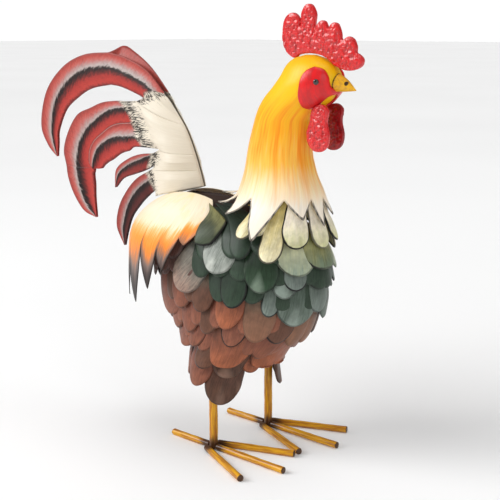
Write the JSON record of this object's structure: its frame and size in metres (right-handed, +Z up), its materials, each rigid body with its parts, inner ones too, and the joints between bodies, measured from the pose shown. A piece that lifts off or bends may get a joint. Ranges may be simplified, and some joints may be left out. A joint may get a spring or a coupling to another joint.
{
  "type": "rooster sculpture",
  "caption": "Standing garden rooster welded from painted sheet steel, with overlapping feathers, a sickle tail, comb and wattles, on round rod legs and toes.",
  "frame": {"origin": "middle of the bounding box at floor level, between the legs and the tail on the plane of symmetry", "axes": "+X towards the beak, +Y to the rooster's own left, +Z up"},
  "size_m": [0.5292, 0.1972, 0.5014],
  "materials": {
    "cream_enamel": "cream enamel, satin",
    "yellow_enamel": "yellow enamel brushed with orange and faded to cream, satin",
    "red_enamel": "red gloss enamel on embossed sheet",
    "ochre_enamel": "ochre enamel with brown brush strokes, satin",
    "black_enamel": "black gloss enamel",
    "green_enamel": "dark green enamel with grey dry brushing, satin",
    "brown_enamel": "red-brown enamel with dry brushing, satin",
    "dark_brown_enamel": "dark brown enamel, matt",
    "crimson_enamel": "dull crimson enamel with pinkish-grey and black brush strokes, satin"
  },
  "bodies": {
    "root": {"body_shell": "dark_brown_enamel", "neck_and_head": "yellow_enamel", "comb": "red_enamel", "beak": "ochre_enamel", "feathers_row_1": "cream_enamel", "feathers_row_2": "green_enamel", "feathers_row_3": "green_enamel", "feathers_row_4": "green_enamel", "feathers_row_5": "brown_enamel", "feathers_row_6": "brown_enamel", "thigh_feathers_left": "brown_enamel", "face_plate_left": "red_enamel", "eye_left": "black_enamel", "wattle_left": "red_enamel", "tail_left": "crimson_enamel", "saddle_plate_left": "cream_enamel", "leg_left": "ochre_enamel", "toe_left_back": "ochre_enamel", "toe_left_middle": "ochre_enamel", "toe_left_inner": "ochre_enamel", "toe_left_outer": "ochre_enamel", "thigh_feathers_right": "brown_enamel", "face_plate_right": "red_enamel", "eye_right": "black_enamel", "wattle_right": "red_enamel", "tail_right": "crimson_enamel", "saddle_plate_right": "cream_enamel", "leg_right": "ochre_enamel", "toe_right_back": "ochre_enamel", "toe_right_middle": "ochre_enamel", "toe_right_inner": "ochre_enamel", "toe_right_outer": "ochre_enamel"}
  },
  "joints": []
}
